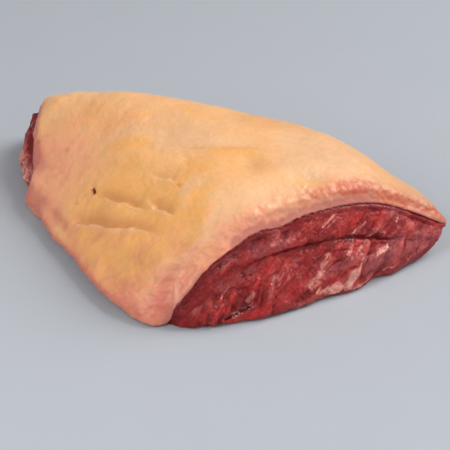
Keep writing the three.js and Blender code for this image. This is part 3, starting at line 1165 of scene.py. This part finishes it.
def meat_finish():
    """Wet red meat with fibres, thin marbling and a bluish skin in places."""
    choices = bpy.context.scene.picanha_meat
    meat = Finish("wet_lean_meat")
    axes = (tuple(FIBRE), tuple(ACROSS), tuple(DEEP))
    broad = meat.swing(meat.cloud(38, 4), 2.4)
    patch = meat.swing(meat.cloud(130, 4, 0.62), 2.4)
    fibre = meat.swing(meat.cloud(1, 4, 0.6, meat.grained(axes, (8, 1.5, 1.5))), 2.6)
    thread = meat.swing(meat.cloud(1, 3, 0.6, meat.grained(axes, (3, 0.8, 0.8))), 2.6)
    speck = meat.swing(meat.cloud(420, 3, 0.6), 2.4)
    strands = meat.shifted(meat.grained(axes, (14, 2.6, 2.6)), 0.8, 1.1)
    strand = meat.swing(meat.cells(strands, output="Color"), 1.0)
    seam = meat.cells(strands, "DISTANCE_TO_EDGE")
    bundle = meat.swing(meat.stored("bundle"), 1.0)
    band = meat.swing(meat.stored("band"), 2.0)

    tone = 0.70 + band * 0.5 + broad * 0.2 + strand * 0.25 + fibre * 0.2
    tone = meat.held(tone + patch * 0.25 + speck * 0.12)
    shade = meat.mixed(tone, choices.dark_and_shade, choices.red)
    vivid = meat.step(band * 0.5 + patch * 0.5 + strand * 0.3, 0.15, 0.5) * 0.45
    # The stored layer holds the freshly cut marks and the painted light on the upright folds' crests.
    vivid = meat.held(meat.stored("fresh_and_lit") * (0.9 + fibre * 0.3 + speck * 0.3) + vivid)
    shade = meat.mixed(vivid * 0.8, shade, choices.bright)
    filmed = meat.held(meat.stored("film") * (0.85 + patch * 0.5 + fibre * 0.3))
    shade = meat.mixed(filmed, shade, choices.film)
    quiet = meat.stored("quiet")
    rosy = fibre * 0.35 + thread * 0.1 + patch * 0.45 + strand * 0.4
    rosy = rosy + bundle * 0.35 + band * 0.35 + speck * 0.15
    rosy = meat.step(rosy - quiet * 0.35, -0.05, 0.75)
    shade = meat.mixed(rosy * 0.75, shade, choices.rose)
    thin = 1 - meat.step(seam + thread * 0.02, 0.01, 0.07)
    veined = thin * meat.step(patch * 0.5 + broad * 0.7 - quiet * 0.3, 0.05, 0.4) * 0.45
    streak = meat.stored("streaks") * (0.9 + fibre * 0.3 + speck * 0.4)
    shade = meat.mixed(meat.step(streak, 0.0, 0.5) * 0.8, shade, choices.rose)
    marbled = meat.held(veined + meat.step(streak, 0.30, 0.95))
    shade = meat.mixed(marbled * 0.9, shade, choices.marbling)
    parted = thin * meat.step(broad * 0.7 - patch * 0.5, 0.1, 0.4)
    # Painted shade from the stored layer, with thin dark lines between the bundles.
    sunk = meat.held(meat.stored("dark_and_shade") * (0.9 + fibre * 0.3) + parted * 0.6)
    shade = meat.mixed(sunk * 0.92, shade, choices.dark_and_shade)
    wet = meat.stored("wet")
    # Painted highlight: tiny bright spots in the wet places.
    painted_glints = meat.step(speck * 0.9 + patch * 0.4, 0.36, 0.50) * wet
    shade = meat.mixed(painted_glints * 0.85, shade, choices.painted_glint)
    shade = meat.lit(shade, 1.02 + thread * 0.16 + fibre * 0.16 + speck * 0.22 + patch * 0.14)

    relief = fibre * 0.3 + thread * 0.2 + speck * 0.6 + patch * (0.6 + wet) - thin * 0.2
    return meat.shader(
        {
            "Base Color": shade,
            "Roughness": meat.held(0.42 + patch * 0.18 + meat.stored("dark_and_shade") * 0.2 - wet * 0.22),
            "Normal": meat.bumped(relief, 0.0008),
            "Coat Weight": meat.held(0.16 + broad * 0.35 + patch * 0.3 + wet * 0.7),
            "Coat Roughness": 0.11,
            "IOR": 1.40,
            "Specular IOR Level": 0.25,
            "Subsurface Weight": 0.10,
            "Subsurface Radius": (1.0, 0.25, 0.2),
            "Subsurface Scale": 0.003,
        }
    )


# ---------------------------------------------------------------- operators


def dress(piece, node, material):
    """Puts a finished piece in a node's place."""
    piece.data.materials.clear()
    piece.data.materials.append(material)
    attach(piece, "root")
    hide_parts(node)


def bare_meat():
    """The part of the muscle that the fat leaves open, as a search tree."""
    fat_tree = tree_of(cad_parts["fat_cap"].data)

    def keep(face):
        return face.center.z > 0.002 and fat_tree.find_nearest(face.center * MM, 2.0)[3] is None

    return eased_tree("muscle", keep)


class PICANHA_OT_fat_cap(bpy.types.Operator):
    """Carve and colour the fat cap"""

    bl_idname = "picanha.fat_cap"
    bl_label = "Fat cap"

    def execute(self, context):
        choices = context.scene.picanha_fat
        piece = refined("fat_cap", "fat_layer", choices.grain)
        carve_fat(piece, bare_meat(), eased_tree("muscle"))
        dress(piece, "fat_cap", fat_finish())
        return {"FINISHED"}


class PICANHA_OT_lean_meat(bpy.types.Operator):
    """Carve and colour the lean meat"""

    bl_idname = "picanha.lean_meat"
    bl_label = "Lean meat"

    def execute(self, context):
        choices = context.scene.picanha_meat
        piece = refined("muscle", "lean_muscle", choices.grain)
        carve_meat(piece, eased_tree("fat_cap"))
        dress(piece, "muscle", meat_finish())
        return {"FINISHED"}


def floor_finish(shade):
    """A plain pale floor."""
    floor = Finish("pale_floor")
    soft = floor.cloud(30, 3)
    tone = floor.lit(shade, 0.985 + soft * 0.03)
    return floor.shader({"Base Color": tone, "Roughness": 0.8, "Specular IOR Level": 0.3})


# What the lamps and the camera look at, and half the floor's width, in metres.
AIM = Vector((0.0298, -0.0135, 0.0276))
FLOOR_HALF = 4.0


def lamp(name, direction, distance, size, watts):
    """A square soft white lamp that looks at the meat."""
    data = bpy.data.lights.new(name, "AREA")
    data.size = size
    data.energy = watts
    light = bpy.data.objects.new(name, data)
    away = Vector(direction).normalized()
    light.location = AIM + away * distance
    light.rotation_mode = "QUATERNION"
    light.rotation_quaternion = away.to_track_quat("Z", "Y")
    bpy.context.collection.objects.link(light)


def lay_floor(material):
    """A floor much wider than the meat."""
    shape = bmesh.new()
    bmesh.ops.create_grid(shape, x_segments=1, y_segments=1, size=FLOOR_HALF)
    mesh = bpy.data.meshes.new("floor")
    shape.to_mesh(mesh)
    shape.free()
    mesh.materials.append(material)
    floor = bpy.data.objects.new("floor", mesh)
    bpy.context.collection.objects.link(floor)


def daylight(shade, strength):
    """Even light from all round."""
    world = bpy.data.worlds.new("daylight")
    world.use_nodes = True
    sky = world.node_tree.nodes["Background"]
    sky.inputs["Color"].default_value = (*shade, 1)
    sky.inputs["Strength"].default_value = strength
    return world


def camera_on_meat(choices):
    """A camera that looks down at the meat from its turn, rise and distance."""
    data = bpy.data.cameras.new("camera")
    data.lens = choices.lens
    data.sensor_width = 36
    data.clip_end = 50
    camera = bpy.data.objects.new("camera", data)
    turn = choices.turn
    rise = choices.rise
    back = Vector((math.sin(turn) * math.cos(rise), -math.cos(turn) * math.cos(rise), math.sin(rise)))
    camera.location = AIM + back * choices.distance
    camera.rotation_mode = "QUATERNION"
    camera.rotation_quaternion = back.to_track_quat("Z", "Y")
    bpy.context.collection.objects.link(camera)
    return camera


class PICANHA_OT_stage(bpy.types.Operator):
    """Lay the floor and set up the light and the camera"""

    bl_idname = "picanha.stage"
    bl_label = "Stage"

    def execute(self, context):
        choices = context.scene.picanha_stage
        scene = context.scene
        lay_floor(floor_finish(tuple(choices.floor)))
        scene.world = daylight(choices.daylight, choices.daylight_power)
        lamp("key_lamp", (0.54, 0.52, 0.66), 2.2, 1.4, choices.key_power)
        lamp("side_lamp", (0.78, -0.52, 0.34), 0.8, 0.5, choices.side_power)
        lamp("fill_lamp", (-0.36, -0.70, 0.62), 0.95, 0.5, choices.fill_power)
        scene.camera = camera_on_meat(choices)
        scene.view_settings.view_transform = "Standard"
        scene.view_settings.look = "None"
        return {"FINISHED"}


class PICANHA_PT_panel(bpy.types.Panel):
    """Lists the pieces of the picanha"""

    bl_idname = "PICANHA_PT_panel"
    bl_label = "Picanha"
    bl_space_type = "VIEW_3D"
    bl_region_type = "UI"
    bl_category = "Picanha"

    def draw(self, context):
        for operator, owner in (
            (PICANHA_OT_fat_cap, "picanha_fat"),
            (PICANHA_OT_lean_meat, "picanha_meat"),
            (PICANHA_OT_stage, "picanha_stage"),
        ):
            box = self.layout.box()
            box.operator(operator.bl_idname)
            choices = getattr(context.scene, owner)
            for name in choices.__annotations__:
                box.prop(choices, name)


CLASSES = (
    FatChoices,
    MeatChoices,
    StageChoices,
    PICANHA_OT_fat_cap,
    PICANHA_OT_lean_meat,
    PICANHA_OT_stage,
    PICANHA_PT_panel,
)


def register():
    for item in CLASSES:
        bpy.utils.register_class(item)
    bpy.types.Scene.picanha_fat = bpy.props.PointerProperty(type=FatChoices)
    bpy.types.Scene.picanha_meat = bpy.props.PointerProperty(type=MeatChoices)
    bpy.types.Scene.picanha_stage = bpy.props.PointerProperty(type=StageChoices)


def unregister():
    del bpy.types.Scene.picanha_fat
    del bpy.types.Scene.picanha_meat
    del bpy.types.Scene.picanha_stage
    for item in reversed(CLASSES):
        bpy.utils.unregister_class(item)


def main():
    register()
    bpy.ops.picanha.stage()
    bpy.ops.picanha.fat_cap()
    bpy.ops.picanha.lean_meat()


if __name__ == "__main__":
    main()
